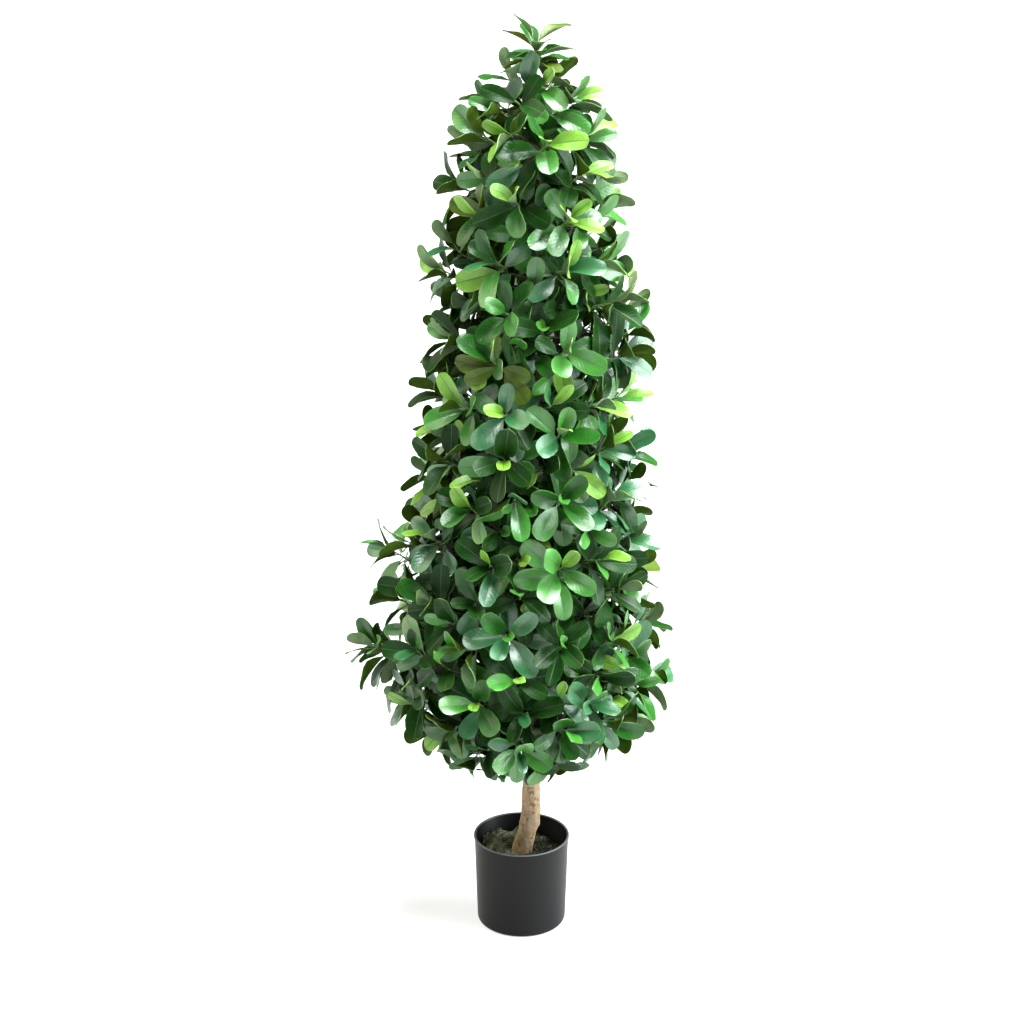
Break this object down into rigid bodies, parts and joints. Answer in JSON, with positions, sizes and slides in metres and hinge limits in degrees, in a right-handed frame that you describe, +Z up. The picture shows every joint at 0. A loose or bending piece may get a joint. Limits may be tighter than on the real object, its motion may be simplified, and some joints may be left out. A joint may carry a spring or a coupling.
{
  "type": "artificial ficus tree",
  "caption": "Artificial ficus tree: a leaning wooden trunk with a tall cone of wired leaf rosettes, set in cement under dry moss in a plain round plastic pot.",
  "frame": {"origin": "centre of the pot's flat underside", "axes": "+Z up along the tree's height; the front, as the picture shows it, faces -Y, with +X to its right"},
  "size_m": [0.4413, 0.3841, 1.1959],
  "materials": {
    "pot_plastic": "charcoal black moulded plastic with a soft satin sheen",
    "cement": "rough grey cement, poured",
    "dry_moss": "matt grey-green shreds of dried moss",
    "bark": "pale tan bark with brown specks and shallow knots",
    "leaf_green": "waxy coated leaf cloth in several greens"
  },
  "bodies": {
    "root": {"pot": "pot_plastic", "cement_fill": "cement", "moss_bed": "dry_moss", "trunk": "bark", "foliage_1_1": "leaf_green", "foliage_1_2": "leaf_green", "foliage_1_3": "leaf_green", "foliage_1_4": "leaf_green", "foliage_1_5": "leaf_green", "foliage_2_1": "leaf_green", "foliage_2_2": "leaf_green", "foliage_2_3": "leaf_green", "foliage_2_4": "leaf_green", "foliage_2_5": "leaf_green", "foliage_3_1": "leaf_green", "foliage_3_2": "leaf_green", "foliage_3_3": "leaf_green", "foliage_3_4": "leaf_green", "foliage_3_5": "leaf_green", "foliage_4_1": "leaf_green", "foliage_4_2": "leaf_green", "foliage_4_3": "leaf_green", "foliage_4_4": "leaf_green", "foliage_5_1": "leaf_green", "foliage_5_2": "leaf_green", "foliage_5_3": "leaf_green", "foliage_top": "leaf_green"}
  },
  "joints": []
}
